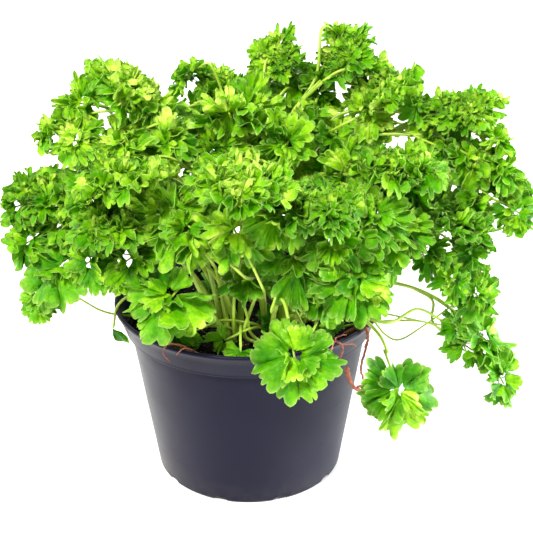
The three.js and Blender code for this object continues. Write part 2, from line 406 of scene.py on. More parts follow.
def makeDryMaterial(finish):
    material, nodes, links, shader = newMaterial("dryStalk")
    color = patchyColor(nodes, links, finish["stops"], 600.0, 0.3)
    links.new(color, shader.inputs["Base Color"])
    shader.inputs["Roughness"].default_value = 0.7
    return material


potFinish = {
    "color": (0.0012, 0.0012, 0.0130),
    "worn": (0.0042, 0.0040, 0.0210),
    "dusty": (0.06, 0.056, 0.052),
    "roughness": (0.36, 0.46),
    "specular": 0.09,
    "sheen": 0.09,
}


def makePotMaterial(finish):
    material, nodes, links, shader = newMaterial("potPlastic")
    place = nodes.new("ShaderNodeTexCoord")
    # scuffs run round the pot: noise stretched level
    stretch = nodes.new("ShaderNodeVectorMath")
    stretch.operation = "MULTIPLY"
    stretch.inputs[1].default_value = (18.0, 18.0, 900.0)
    scuffNoise = nodes.new("ShaderNodeTexNoise")
    scuffNoise.inputs["Scale"].default_value = 1.0
    scuffNoise.inputs["Detail"].default_value = 4.0
    links.new(place.outputs["Object"], stretch.inputs[0])
    links.new(stretch.outputs["Vector"], scuffNoise.inputs["Vector"])
    scuff = nodes.new("ShaderNodeMapRange")
    scuff.inputs["From Min"].default_value = 0.60
    scuff.inputs["From Max"].default_value = 0.75
    scuff.inputs["To Max"].default_value = 0.5
    links.new(scuffNoise.outputs["Fac"], scuff.inputs["Value"])
    patches = placeGroup(nodes, mottleGroup, Scale=35.0, Low=0.0, High=0.35)
    color = mixColors(nodes, links, patches.outputs["Value"], finish["color"], finish["worn"])
    color = mixColors(nodes, links, scuff.outputs["Result"], color, finish["worn"])
    dust = placeGroup(nodes, mottleGroup, Scale=160.0, Detail=6.0, Low=0.0, High=0.25)
    dustMask = mathNode(nodes, links, "MULTIPLY", attributeValue(nodes, "edge"), dust.outputs["Value"])
    color = mixColors(nodes, links, dustMask, color, finish["dusty"])
    links.new(color, shader.inputs["Base Color"])
    shine = placeGroup(nodes, mottleGroup, Scale=60.0, Detail=5.0, Low=finish["roughness"][0],
                       High=finish["roughness"][1])
    rough = mathNode(nodes, links, "MULTIPLY_ADD", scuff.outputs["Result"], 0.25, shine.outputs["Value"])
    links.new(rough, shader.inputs["Roughness"])
    shader.inputs["Specular IOR Level"].default_value = finish["specular"]
    shader.inputs["Sheen Weight"].default_value = finish["sheen"]
    skin = placeGroup(nodes, grainGroup, Scale=1800.0, Depth=0.00006)
    links.new(skin.outputs["Normal"], shader.inputs["Normal"])
    return material


leafMaterial = makeLeafMaterial(leafFinish)
petioleMaterial = makePetioleMaterial(petioleFinish)
peatMaterial = makePeatMaterial(peatFinish)
rootMaterial = makeRootMaterial(rootFinish)
dryMaterial = makeDryMaterial(dryFinish)
potMaterial = makePotMaterial(potFinish)
print("materials made")


# mesh building: a Heap gathers closed islands, and becomes one mesh

class Heap:
    def __init__(self):
        self.points, self.faces, self.count = [], [], 0
        self.values = {"tone": [], "edge": [], "vein": []}

    def add(self, points, faceGroups, tone=0.5, edge=0.0, vein=1.0):
        self.points.append(points)
        for faces in faceGroups:
            self.faces.append(np.asarray(faces) + self.count)
        for key, value in (("tone", tone), ("edge", edge), ("vein", vein)):
            self.values[key].append(np.broadcast_to(value, len(points)).astype(np.float32))
        self.count += len(points)

    def build(self, name, material, slot, *nodeNames):
        points = np.concatenate(self.points).astype(np.float32)
        corners = np.concatenate([faces.ravel() for faces in self.faces]).astype(np.int32)
        sizes = np.concatenate([np.full(len(faces), faces.shape[1]) for faces in self.faces])
        starts = np.concatenate([[0], np.cumsum(sizes)[:-1]]).astype(np.int32)
        mesh = bpy.data.meshes.new(name)
        mesh.vertices.add(len(points))
        mesh.vertices.foreach_set("co", points.ravel())
        mesh.loops.add(len(corners))
        mesh.loops.foreach_set("vertex_index", corners)
        mesh.polygons.add(len(sizes))
        mesh.polygons.foreach_set("loop_start", starts)
        mesh.update(calc_edges=True)
        mesh.shade_smooth()
        for key, lists in self.values.items():
            attribute = mesh.attributes.new(key, "FLOAT", "POINT")
            attribute.data.foreach_set("value", np.concatenate(lists))
        mesh.materials.append(material)
        piece = bpy.data.objects.new(name, mesh)
        bpy.context.collection.objects.link(piece)
        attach(piece, "root")
        if nodeNames:
            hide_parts(*nodeNames)
        return piece


def gridQuads(rows, columns, closed=False):
    r, c = np.meshgrid(np.arange(rows - 1), np.arange(columns if closed else columns - 1), indexing="ij")
    r, c = r.ravel(), c.ravel()
    n = (c + 1) % columns
    return np.stack([r * columns + c, r * columns + n, (r + 1) * columns + n, (r + 1) * columns + c], -1)


# fans that close both ends of a stack of rings; their middle points come after the rings' points
def endFans(rings, sides, flip=False):
    here = np.arange(sides)
    after = (here + 1) % sides
    middle, top = rings * sides, (rings - 1) * sides
    first = np.stack([np.full(sides, middle), after, here], -1)
    last = np.stack([np.full(sides, middle + 1), top + here, top + after], -1)
    fans = np.concatenate([first, last])
    return fans[:, [0, 2, 1]] if flip else fans


def unit(vector):
    return vector / np.linalg.norm(vector, axis=-1, keepdims=True)


# a smooth curve through points, in even steps
def smoothPath(points, steps):
    points = np.asarray(points, float)
    before, after = 2 * points[:1] - points[1:2], 2 * points[-1:] - points[-2:-1]
    p = np.concatenate([before, points, after])
    t = np.linspace(0, 1, 8, endpoint=False)[:, None]
    runs = []
    for i in range(1, len(p) - 2):
        a, b, c, d = p[i - 1], p[i], p[i + 1], p[i + 2]
        runs.append(0.5 * (2 * b + (c - a) * t + (2 * a - 5 * b + 4 * c - d) * t**2
                           + (3 * b - a - 3 * c + d) * t**3))
    dense = np.concatenate(runs + [points[-1:]])
    length = np.concatenate([[0], np.cumsum(np.linalg.norm(np.diff(dense, axis=0), axis=1))])
    even = np.linspace(0, length[-1], steps)
    return np.stack([np.interp(even, length, dense[:, k]) for k in range(3)], -1)


# a closed tube along a path; ridges makes its section ribbed
def tube(path, radii, sides=12, ridges=0, ridgeDepth=0.0):
    steps = len(path)
    radii = np.broadcast_to(radii, steps)
    along = unit(np.gradient(path, axis=0))
    side = np.cross(along[0], (0.3, 0.9, 0.1))
    rings, crest = [], []
    angle = np.arange(sides) * 2 * math.pi / sides
    ripple = 1 + ridgeDepth * np.cos(ridges * angle)
    for k in range(steps):
        side = unit(side - along[k] * (side @ along[k]))
        other = np.cross(along[k], side)
        ring = np.cos(angle)[:, None] * side + np.sin(angle)[:, None] * other
        rings.append(path[k] + ring * (ripple * radii[k])[:, None])
        crest.append((np.cos(ridges * angle) + 1) / 2 if ridges else np.zeros(sides))
    points = np.concatenate(rings + [path[:1] - along[:1] * radii[0] * 0.4,
                                     path[-1:] + along[-1:] * radii[-1] * 0.6])
    crest = np.concatenate([np.concatenate(crest), [0, 0]])
    return points, (gridQuads(steps, sides, closed=True), endFans(steps, sides)), crest


# pot

potShape = {
    "footRadius": 50 * mm,
    "shoulderRadius": 62 * mm,
    "bandFoot": 82 * mm,
    "bandRadius": 65 * mm,
    "wall": 1.2 * mm,
    "cornerRadius": 1.6 * mm,
    "channel": (27 * mm, 44 * mm, 2.5 * mm),  # inner and outer radius, lift
    "drainHoles": 8,
    "drainRadius": 4 * mm,
    "notches": 10,
    "notchHeight": 1.5 * mm,
    "lipRadius": 1.1 * mm,
    "coveRadius": 1.2 * mm,  # under the band
    "bandEdgeRadius": 0.8 * mm,
    "dustHeight": 14 * mm,
    "sides": 160,
}


def arc(centreR, centreZ, radius, fromAngle, toAngle, steps):
    angles = np.radians(np.linspace(fromAngle, toAngle, steps))
    return [(centreR + radius * math.cos(a), centreZ + radius * math.sin(a)) for a in angles]


def straight(start, end, steps):
    return [tuple(p) for p in np.linspace(start, end, steps + 1)[:-1]]


def makePot(shape):
    foot, shoulder, wall = shape["footRadius"], shape["shoulderRadius"], shape["wall"]
    bandFoot, bandRadius, corner = shape["bandFoot"], shape["bandRadius"], shape["cornerRadius"]
    innerChannel, outerChannel, lift = shape["channel"]
    lip, cove, bandEdge = shape["lipRadius"], shape["coveRadius"], shape["bandEdgeRadius"]
    outside = (
        straight((0.5 * mm, 0), (innerChannel, 0), 4)
        + straight((innerChannel, 0), (innerChannel + lift, lift), 3)
        + straight((innerChannel + lift, lift), (outerChannel - lift, lift), 6)
        + straight((outerChannel - lift, lift), (outerChannel, 0), 3)
        + arc(foot - corner, corner, corner, -90, -6, 8)
        + straight((foot, corner), (shoulder, bandFoot - cove), 24)
        + arc(shoulder + cove, bandFoot - cove, cove, 180, 90, 5)
        + arc(bandRadius - bandEdge, bandFoot + bandEdge, bandEdge, -90, 0, 5)
        + straight((bandRadius, bandFoot + 1 * mm), (rimRadius - 1.6 * mm, potHeight - 4 * mm), 8)
        + arc(rimRadius - lip, potHeight - lip, lip, -60, 150, 12)
    )
    inside = (
        straight((rimRadius - 2.4 * mm, potHeight - 1.6 * mm), (bandRadius - wall, bandFoot + wall), 8)
        + straight((bandRadius - wall, bandFoot + wall), (shoulder - wall, bandFoot), 3)
        + straight((shoulder - wall, bandFoot), (foot - wall, wall + 2 * mm), 10)
        + straight((foot - wall - 2 * mm, wall), (outerChannel, wall), 3)
        + straight((outerChannel, wall), (outerChannel - lift, lift + wall), 3)
        + straight((outerChannel - lift, lift + wall), (innerChannel + lift, lift + wall), 5)
        + straight((innerChannel + lift, lift + wall), (innerChannel, wall), 3)
        + straight((innerChannel, wall), (0.5 * mm, wall), 4)
    )
    profile = np.array(outside + inside)
    sides = shape["sides"]
    angle = np.arange(sides) * 2 * math.pi / sides
    radius, height = np.repeat(profile[:, 0], sides), np.repeat(profile[:, 1], sides)
    around = np.tile(angle, len(profile))
    # moulded plastic is never quite round
    radius = radius * (1 + 0.0025 * np.sin(2 * around + 0.6) * (height / potHeight))
    # drainage notches round the foot's outer edge
    wave = np.clip((np.cos(shape["notches"] * around) - 0.72) / 0.2, 0, 1)
    nearFoot = np.clip((radius - outerChannel) / (2 * mm), 0, 1) * np.clip(1 - height / (3 * mm), 0, 1)
    isOutside = np.repeat(np.arange(len(profile)) < len(outside), sides)
    height = height + shape["notchHeight"] * wave * nearFoot * isOutside
    points = np.stack([radius * np.cos(around), radius * np.sin(around), height], -1)
    rings = len(profile)
    points = np.concatenate([points, [[0, 0, 0], [0, 0, wall]]])
    low = np.clip(1 - points[:, 2] / shape["dustHeight"], 0, 1)
    heap = Heap()
    heap.add(points, (gridQuads(rings, sides, closed=True), endFans(rings, sides)), 0.5, low)
    pot = heap.build("nurseryPot", potMaterial, "pot", "pot")
    drillHoles(pot, shape)


# drain holes, cut through the raised channel
def drillHoles(pot, shape):
    innerChannel, outerChannel, lift = shape["channel"]
    ring = (innerChannel + outerChannel) / 2
    drills = bmesh.new()
    for k in range(shape["drainHoles"]):
        angle = k * 2 * math.pi / shape["drainHoles"]
        made = bmesh.ops.create_cone(drills, cap_ends=True, segments=28, depth=10 * mm,
                                     radius1=shape["drainRadius"], radius2=shape["drainRadius"])
        offset = (ring * math.cos(angle), ring * math.sin(angle), lift)
        bmesh.ops.translate(drills, verts=made["verts"], vec=offset)
    mesh = bpy.data.meshes.new("drills")
    drills.to_mesh(mesh)
    drills.free()
    cutter = bpy.data.objects.new("drills", mesh)
    bpy.context.collection.objects.link(cutter)
    cut = pot.modifiers.new("drill", "BOOLEAN")
    cut.object = cutter
    cut.solver = "EXACT"
    bpy.context.view_layer.update()
    evaluated = pot.evaluated_get(bpy.context.evaluated_depsgraph_get())
    drilled = bpy.data.meshes.new_from_object(evaluated)
    pot.modifiers.clear()
    pot.data = drilled
    bpy.data.objects.remove(cutter)


makePot(potShape)
print("pot made")


# soil

soilShape = {
    "edgeGap": 0.5 * mm,
    "edgeDrop": 2.4 * mm,
    "rings": 46,
    "sides": 150,
    "crumbs": 1500,
    "crumbSize": (0.5 * mm, 1.9 * mm),
    "crumbTones": (0.15, 0.62),
    "grit": 260,
    "gritSize": (0.25 * mm, 0.75 * mm),
    "gritTones": (0.86, 1.0),
    "fibres": 70,
}


def hills(x, y, seed, size):
    rng = np.random.default_rng(seed)
    total = np.zeros_like(x)
    for _ in range(14):
        a, f, p = rng.uniform(0, 2 * math.pi), rng.uniform(0.6, 1.8), rng.uniform(0, 2 * math.pi)
        total += np.sin((x * math.cos(a) + y * math.sin(a)) * f * 2 * math.pi / size + p)
    return total / 14


# the peat is heaped a little round each crown
crowns = [(np.add(*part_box(name)) / 2)[:2] for name in sorted(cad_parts) if name.startswith("root_")]


def soilSurface(x, y):
    r = np.hypot(x, y)
    drop = soilShape["edgeDrop"] * (r / (64 * mm)) ** 2
    lumps = 2.2 * mm * hills(x, y, 3, 26 * mm) + 1.3 * mm * hills(x, y, 4, 9 * mm)
    heaped = sum(np.exp(-(((x - cx) ** 2 + (y - cy) ** 2) / (13 * mm) ** 2) ** 2) for cx, cy in crowns)
    return soilHeight - 0.6 * mm - drop + lumps + 3.0 * mm * heaped


# a little rough stone: a squashed ball of few faces
def lump(rng, size):
    ball = bmesh.new()
    bmesh.ops.create_icosphere(ball, subdivisions=1, radius=1)
    points = np.array([v.co[:] for v in ball.verts])
    faces = np.array([[v.index for v in f.verts] for f in ball.faces])
    ball.free()
    points *= rng.uniform(0.65, 1.2, (len(points), 1))
    return points * rng.uniform(0.55, 1.0, 3) * size, faces


def spin(rng):
    q, _ = np.linalg.qr(rng.normal(size=(3, 3)))
    return q * np.sign(np.linalg.det(q))


def makeSoil(shape):
    rng = np.random.default_rng(5)
    heap = Heap()
    sides = shape["sides"]
    innerWall = potShape["bandRadius"] - potShape["wall"] - shape["edgeGap"]
    angle = np.arange(sides) * 2 * math.pi / sides
    radii = np.sqrt(np.linspace(0.0002, 1, shape["rings"])) * innerWall
    rings = []
    for r in radii:
        x, y = r * np.cos(angle), r * np.sin(angle)
        rings.append(np.stack([x, y, soilSurface(x, y)], -1))
    # down the side and across the bottom
    floorHeight = potShape["wall"] + potShape["channel"][2] + 1 * mm
    edge = potShape["wall"] + shape["edgeGap"]
    for r, z in [(potShape["shoulderRadius"] - edge, 81 * mm),
                 (potShape["footRadius"] + 1 * mm - edge, floorHeight + 2 * mm),
                 (potShape["footRadius"] - 2 * mm - edge, floorHeight), (1 * mm, floorHeight)]:
        rings.append(np.stack([r * np.cos(angle), r * np.sin(angle), np.full(sides, z)], -1))
    count = len(rings)
    middleHeight = soilSurface(np.zeros(1), np.zeros(1))[0]
    points = np.concatenate(rings + [[[0, 0, middleHeight], [0, 0, floorHeight]]])
    quads = gridQuads(count, sides, closed=True)[:, ::-1]
    heap.add(points, (quads, endFans(count, sides, flip=True)), 0.35)
    addCrumbs(heap, rng, shape["crumbs"], shape["crumbSize"], shape["crumbTones"], innerWall)
    addCrumbs(heap, rng, shape["grit"], shape["gritSize"], shape["gritTones"], innerWall)
    # fine dead roots
    for _ in range(shape["fibres"]):
        r = innerWall * math.sqrt(rng.uniform(0.1, 0.96))
        a = rng.uniform(0, 2 * math.pi)
        turn = rng.uniform(0, 6.28)
        steps = np.linspace(0, 1, 7)
        bend = rng.uniform(-1.6, 1.6)
        reach = rng.uniform(4, 11) * mm
        x = r * math.cos(a) + reach * steps * np.cos(turn + bend * steps)
        y = r * math.sin(a) + reach * steps * np.sin(turn + bend * steps)
        out = np.maximum(np.hypot(x, y) / (innerWall - 1 * mm), 1)
        x, y = x / out, y / out
        z = soilSurface(x, y) + rng.uniform(0.2, 1.6) * mm * np.sin(math.pi * steps)
        island, faces, _ = tube(np.stack([x, y, z], -1), np.linspace(0.32, 0.16, 7) * mm, 5)
        heap.add(island, faces, rng.uniform(0.7, 0.86))
    heap.build("peatFill", peatMaterial, "peat", "soil")


def addCrumbs(heap, rng, count, sizes, tones, innerWall):
    for _ in range(count):
        size = rng.uniform(*sizes) * rng.uniform(0.5, 1)
        r = (innerWall - 1.5 * mm) * math.sqrt(rng.uniform(0, 1))
        a = rng.uniform(0, 2 * math.pi)
        x, y = r * math.cos(a), r * math.sin(a)
        points, faces = lump(rng, size)
        z = soilSurface(np.array(x), np.array(y)) + size * rng.uniform(-0.2, 0.5)
        heap.add(points @ spin(rng) + (x, y, float(z)), (faces,), rng.uniform(*tones))


makeSoil(soilShape)
print("soil made")


# roots

rootShape = {"sides": 36, "rings": 26, "wrinkle": 0.06}


def makeRoot(nodeName, shape):
    low, high = (np.array(corner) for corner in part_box(nodeName))
    x, y = (low[:2] + high[:2]) / 2
    widest = (high[0] - low[0]) / 2
    t = np.linspace(0, 1, shape["rings"])
    z = high[2] + (low[2] - high[2]) * t ** 1.3
    depth = (high[2] - z) / (high[2] - low[2])
    radius = widest * np.interp(depth, [0, 0.02, 0.06, 0.25, 0.6, 1], [0.35, 0.78, 0.97, 0.9, 0.42, 0.1])
    angle = np.arange(shape["sides"]) * 2 * math.pi / shape["sides"]
    rings = []
    for k, (r, h) in enumerate(zip(radius, z)):
        wave = 1 + shape["wrinkle"] * np.sin(5 * angle + k * 0.4) * np.sin(k * 1.7)
        rings.append(np.stack([x + r * wave * np.cos(angle), y + r * wave * np.sin(angle),
                               np.full_like(angle, h)], -1))
    points = np.concatenate(rings + [[[x, y, high[2]], [x, y, low[2]]]])
    sides, count = shape["sides"], shape["rings"]
    quads = gridQuads(count, sides, closed=True)[:, ::-1]
    heap = Heap()
    tone = np.interp(points[:, 2], [high[2] - 10 * mm, high[2]], [0.35, 0.8])
    heap.add(points, (quads, endFans(count, sides, flip=True)), tone)
    heap.build("tap" + nodeName.title().replace("_", ""), rootMaterial, "root", nodeName)


for name in sorted(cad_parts):
    if name.startswith("root_"):
        makeRoot(name, rootShape)
print("roots made")


# leaflets: each is a fan of lobes with rounded teeth, curled and ruffled, with a real thickness

leafletStyles = {
    "broad": {
        "count": 14, "lobes": (3, 4), "teeth": (2, 4), "spread": (44, 62), "slit": 0.36, "notch": 0.15,
        "curl": (-0.7, 0.5), "tipCurl": (-0.7, 0.6), "roll": 0.80, "ruffle": 0.07, "cup": 0.005,
        "flare": 0.14,
    },
    "frilled": {
        "count": 20, "lobes": (3, 5), "teeth": (2, 4), "spread": (56, 88), "slit": 0.46, "notch": 0.24,
        "curl": (-0.7, 0.9), "tipCurl": (-0.8, 1.0), "roll": 0.90, "ruffle": 0.13, "cup": 0.04,
        "flare": 0.12,
    },
}
leafletStyles["plain"] = dict(
    leafletStyles["broad"], count=3, lobes=(1, 2), teeth=(3, 4), spread=(15, 20), slit=0.5, notch=0.05,
    curl=(-0.6, -0.3), roll=0.1,
)
leafletGrid = {"perTooth": 6, "along": 7, "thickness": 0.022}


def leafletShape(style, grid, seed):
    rng = np.random.default_rng(seed)
    lobes = int(rng.integers(style["lobes"][0], style["lobes"][1]))
    counts = rng.integers(style["teeth"][0], style["teeth"][1], lobes)
    counts[lobes // 2] = style["teeth"][1] - 1
    ends = np.concatenate([[0], np.cumsum(counts)])
    teeth = ends[-1]
    columns, rows = teeth * grid["perTooth"] + 1, grid["along"]
    toothPhase = np.linspace(0, teeth, columns)
    lobe = np.clip(np.searchsorted(ends, toothPhase, side="right") - 1, 0, lobes - 1)
    within = (toothPhase - ends[lobe]) / counts[lobe]
    toothRound = np.abs(np.sin(math.pi * toothPhase)) ** 0.42
    lobeRound = np.abs(np.sin(math.pi * within)) ** 0.26
    # teeth of uneven width
    widths = np.concatenate([[0], np.cumsum(rng.uniform(0.65, 1.35, teeth))])
    side = 2 * np.interp(toothPhase, np.arange(teeth + 1), widths / widths[-1]) - 1
    middles = np.arange(teeth) + 0.5
    vary = np.interp(toothPhase, middles, rng.uniform(-0.16, 0.10, teeth))
    reach = (1 - 0.24 * side**2 + vary) * (1 - style["slit"] * (1 - lobeRound))
    reach = reach * (1 - style["notch"] * (1 - toothRound))
    heading = side * math.radians(rng.uniform(*style["spread"]))
    lobeHeading = np.array([heading[lobe == k].mean() for k in range(lobes)])[lobe]
    s = (np.linspace(0.04, 1, rows) ** 0.85)[:, None]
    bend = rng.uniform(*style["curl"], lobes)[lobe] + 0.001
    bend = np.convolve(np.pad(bend, 2, "edge"), np.ones(5) / 5, "valid")
    out = np.sin(bend * s) / bend * reach
    lift = (1 - np.cos(bend * s)) / bend * reach
    # each lobe leans to a side, and its teeth curl on their own
    roll = rng.uniform(-1, 1, lobes)[lobe] * style["roll"]
    lift = lift + roll * (within - 0.5) * s**1.6 * 0.5
    tipBend = np.interp(toothPhase, middles, rng.uniform(*style["tipCurl"], teeth))
    tipPart = np.clip((s - 0.6) / 0.4, 0, 1) ** 1.5
    out = out - 0.10 * np.abs(tipBend) * tipPart * reach
    lift = lift + 0.20 * tipBend * tipPart * reach
    cup = np.cos(2 * math.pi * toothPhase)
    wave = np.sin(0.9 * math.pi * toothPhase + rng.uniform(0, 6.28))
    lift = lift + s**2 * (style["cup"] * cup + style["ruffle"] * wave)
    turned = heading + style["flare"] * s * (heading - lobeHeading) * 2
    centre = np.stack([out * np.cos(turned), out * np.sin(turned), lift], -1)
    normal = unit(np.cross(np.gradient(centre, axis=0), np.gradient(centre, axis=1)))
    half = grid["thickness"] / 2 * np.interp(s, [0, 0.7, 1], [1.2, 1, 0.5])[..., None]
    upper, lower = centre + normal * half, centre - normal * half
    points = np.concatenate([upper.reshape(-1, 3), lower.reshape(-1, 3)])
    quads = gridQuads(rows, columns)
    border = np.concatenate([np.arange(columns), (np.arange(1, rows) + 1) * columns - 1,
                             (rows - 1) * columns + np.arange(columns - 2, -1, -1),
                             np.arange(rows - 2, 0, -1) * columns])
    after = np.roll(border, -1)
    below = rows * columns
    skirt = np.stack([border, border + below, after + below, after], -1)
    faces = (np.concatenate([quads[:, ::-1], quads + below, skirt]),)
    edge = np.tile(np.broadcast_to(s, (rows, columns)).ravel(), 2)
    vein = np.tile(np.broadcast_to(np.abs(2 * (toothPhase % 1) - 1), (rows, columns)).ravel(), 2)
    # painted shade where it folds down to the stalk and between lobes, painted highlight toward the
    # raised tips
    paintedLightAndTone = 0.12 * (s - 0.6) + 0.06 * (lobeRound - 0.7) + 0.30 * np.clip(lift, -0.3, 0.4)
    # each lobe also gets a random tone, on top of the painted shade and highlight
    paintedLightAndTone = paintedLightAndTone + rng.uniform(-0.08, 0.08, lobes)[lobe]
    return points, faces, edge, vein, np.tile(np.broadcast_to(paintedLightAndTone, (rows, columns)).ravel(), 2)


leaflets = {
    kind: [leafletShape(style, leafletGrid, 100 * len(kind) + k) for k in range(style["count"])]
    for kind, style in leafletStyles.items()
}
print("leaflet kinds made:", sum(len(group) for group in leaflets.values()))


# where leaflets sit on a blade of length 1: base along and across the midrib, heading in degrees,
# radius, and how far each rises off the blade in degrees

def rosette(along, across, *rings):
    rows = []
    for count, distance, radius, rise, turn in rings:
        for k in range(count):
            heading = turn + 360 * k / count
            angle = math.radians(heading)
            rows.append((along + distance * math.cos(angle), across + distance * math.sin(angle),
                         heading, radius, rise))
    return rows


bladePlans = {
    "broad": [
        (0.46, 0.02, 4, 0.54, 0), (0.43, 0.05, 66, 0.48, 8), (0.40, -0.05, -72, 0.50, 2),
        (0.36, 0.07, 122, 0.40, 14), (0.33, -0.05, -134, 0.42, 6), (0.38, -0.02, -28, 0.38, 22),
        (0.42, 0.04, 32, 0.30, 34), (0.34, 0.00, 165, 0.30, 30), (0.44, -0.06, -100, 0.24, 46),
    ],
    "frilled": (
        rosette(0.67, 0, (6, 0.08, 0.29, 2, 0), (4, 0.03, 0.24, 28, 40), (1, 0.01, 0.18, 60, 10))
        + rosette(0.46, 0.21, (6, 0.08, 0.29, 4, 20), (4, 0.03, 0.24, 30, 0), (1, 0.01, 0.18, 60, 90))
        + rosette(0.46, -0.21, (6, 0.08, 0.29, 4, -20), (4, 0.03, 0.24, 28, 10), (1, 0.01, 0.18, 64, 60))
        + rosette(0.22, 0.14, (5, 0.08, 0.27, 4, 60), (3, 0.02, 0.21, 34, 0))
        + rosette(0.22, -0.14, (5, 0.08, 0.27, 4, -60), (3, 0.02, 0.21, 32, 30))
        + rosette(0.45, 0.0, (3, 0.05, 0.23, 34, 45))
    ),
    "sprig": rosette(0.45, 0, (5, 0.12, 0.44, 2, 0), (4, 0.07, 0.34, 24, 30), (2, 0.03, 0.25, 50, 10)),
    "trio": [(0.30, 0.00, 5, 0.62, 2), (0.26, 0.03, 72, 0.52, 6), (0.26, -0.03, -80, 0.54, 4)],
    "single": [(-0.03, 0.00, 0, 0.90, 0)],
}


# how far a blade's face stands over the line through its fork
def bladeDome(along, across):
    return 0.42 * (0.42**2 - (along - 0.42) ** 2 - across**2)


# one blade: leaflets on the heap, ribs on the stalks; axes holds forward, left and normal as columns
def addBlade(heap, stalks, rng, fork, axes, length, plan, kind, curl, tone):
    for along, across, heading, radius, rise in bladePlans[plan]:
        points, faces, edge, vein, paintedLightAndTone = leaflets[kind][int(rng.integers(len(leaflets[kind])))]
        heading = math.radians(heading + rng.uniform(-18, 18))
        rise = math.radians(rise + rng.uniform(-14, 16) * (0.8 + 0.7 * curl))
        roll = math.radians(rng.uniform(-26, 26) * (0.8 + 0.5 * curl))
        # the blade is domed, so leaflets far from its middle point down
        slope = -0.75 * radius
        flat = np.array([math.cos(heading), math.sin(heading), 0])
        forward = unit(flat * math.cos(rise) + np.array([0, 0, math.sin(rise) + slope * math.cos(rise)]))
        side = unit(np.cross((0, 0, 1), forward))
        normal = np.cross(forward, side)
        side, normal = (side * math.cos(roll) + normal * math.sin(roll),
                        normal * math.cos(roll) - side * math.sin(roll))
        along, across = along + rng.uniform(-0.025, 0.025), across + rng.uniform(-0.025, 0.025)
        base = np.array([along, across, bladeDome(along, across) + rng.uniform(0, 0.05)])
        size = radius * rng.uniform(0.82, 1.12)
        shaped = points @ np.stack([forward, side, normal]) * size + base
        # the small ones raised on top get a painted highlight, and each leaflet a random tone
        raisedHighlightAndTone = 0.14 * (rise > 0.35) + rng.uniform(-0.15, 0.13)
        # the tone carries the painted highlight on raised leaflets and the painted shade and highlight
        # within each leaflet
        heap.add(fork + (shaped @ axes.T) * length, faces, tone + raisedHighlightAndTone + paintedLightAndTone, edge, vein)

    # the midrib and its branches, just under the blade's face
    def rib(start, end, width, steps=8, sides=7):
        share = np.linspace(0, 1, steps)[:, None]
        line = np.array(start) + (np.array(end) - start) * share
        line = np.array([(along, across, bladeDome(along, across) - 0.02) for along, across in line])
        path = fork + (line @ axes.T) * length
        points, faces, crest = tube(path, np.linspace(width, width * 0.6, steps) * mm, sides)
        stalks.add(points, faces, 0.35, crest)

    rib((-0.03, 0), (max(row[0] for row in bladePlans[plan]), 0), 0.75)
    for along, across in {row[:2] for row in bladePlans[plan] if abs(row[1]) > 0.1}:
        rib((max(along - abs(across), 0.02), 0), (along, across), 0.5)


# fronds: a petiole along the frame's stem and a blade in the place of the frame's leaf

frondShape = {
    "petioleSteps": 44,
    "sides": 20,
    "ridges": 9,
    "ridgeDepth": 0.09,
    "looseSteps": 40,
    "bladeScale": 0.93,
    "frilledAbove": 128 * mm,  # lower blades are older, broader and flatter
}


# blades whose length is another share of the frame's leaf
bladeScales = {
    "01": 1.02, "02": 1.0, "12": 0.80, "21": 0.78, "22": 0.60, "23": 0.82, "24": 0.80, "25": 0.72,
}
# fronds that are lighter (above 0) or darker than the rest
toneShifts = {
    "01": 0.16, "02": 0.05, "04": 0.08, "09": 0.05, "10": -0.06, "16": -0.10, "18": 0.07, "19": -0.08,
    "20": -0.06, "21": 0.09,
}


# the stem's centre line and radii, ring by ring from its foot
def stemRings(nodeName):
    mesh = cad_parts[nodeName].data
    graph = bmesh.new()
    graph.from_mesh(mesh)
    bmesh.ops.remove_doubles(graph, verts=graph.verts, dist=0.02 * mm)
    foot = min(graph.verts, key=lambda v: v.co.z + 1.5 * math.hypot(v.co.x, v.co.y))
    ring = {v for v in graph.verts if (v.co - foot.co).length < 3.2 * mm}
    seen, rings = set(), []
    while ring:
        rings.append(np.array([v.co[:] for v in ring]))
        seen |= ring
        ring = {edge.other_vert(v) for v in ring for edge in v.link_edges} - seen
    graph.free()
    centres = np.array([points.mean(axis=0) for points in rings])
    radii = np.array([np.linalg.norm(points - c, axis=1).mean() for points, c in zip(rings, centres)])
    return centres, radii


# the fork, the axes (forward, left, normal as columns) and the length of a leaf
def bladePlace(nodeName, stemTip):
    graph = bmesh.new()
    graph.from_mesh(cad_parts[nodeName].data)
    bmesh.ops.remove_doubles(graph, verts=graph.verts, dist=0.02 * mm)
    points = np.array([v.co[:] for v in graph.verts])
    hubs = sorted(graph.verts, key=lambda v: len(v.link_edges))[-2:]
    hub = np.array([v.co[:] for v in hubs]).mean(axis=0)
    graph.free()
    fork = points[np.linalg.norm(points - stemTip, axis=1).argsort()[:4]].mean(axis=0)
    reach = points - fork
    tip = reach[np.linalg.norm(reach, axis=1).argmax()]
    forward = unit(tip)
    normal = hub - points.mean(axis=0)
    normal = unit(normal - forward * (normal @ forward))
    # the tip hangs a little under the midrib's line
    tilt = math.radians(4)
    forward, normal = (forward * math.cos(tilt) + normal * math.sin(tilt),
                       normal * math.cos(tilt) - forward * math.sin(tilt))
    left = np.cross(normal, forward)
    return fork, np.stack([forward, left, normal], -1), np.linalg.norm(tip)


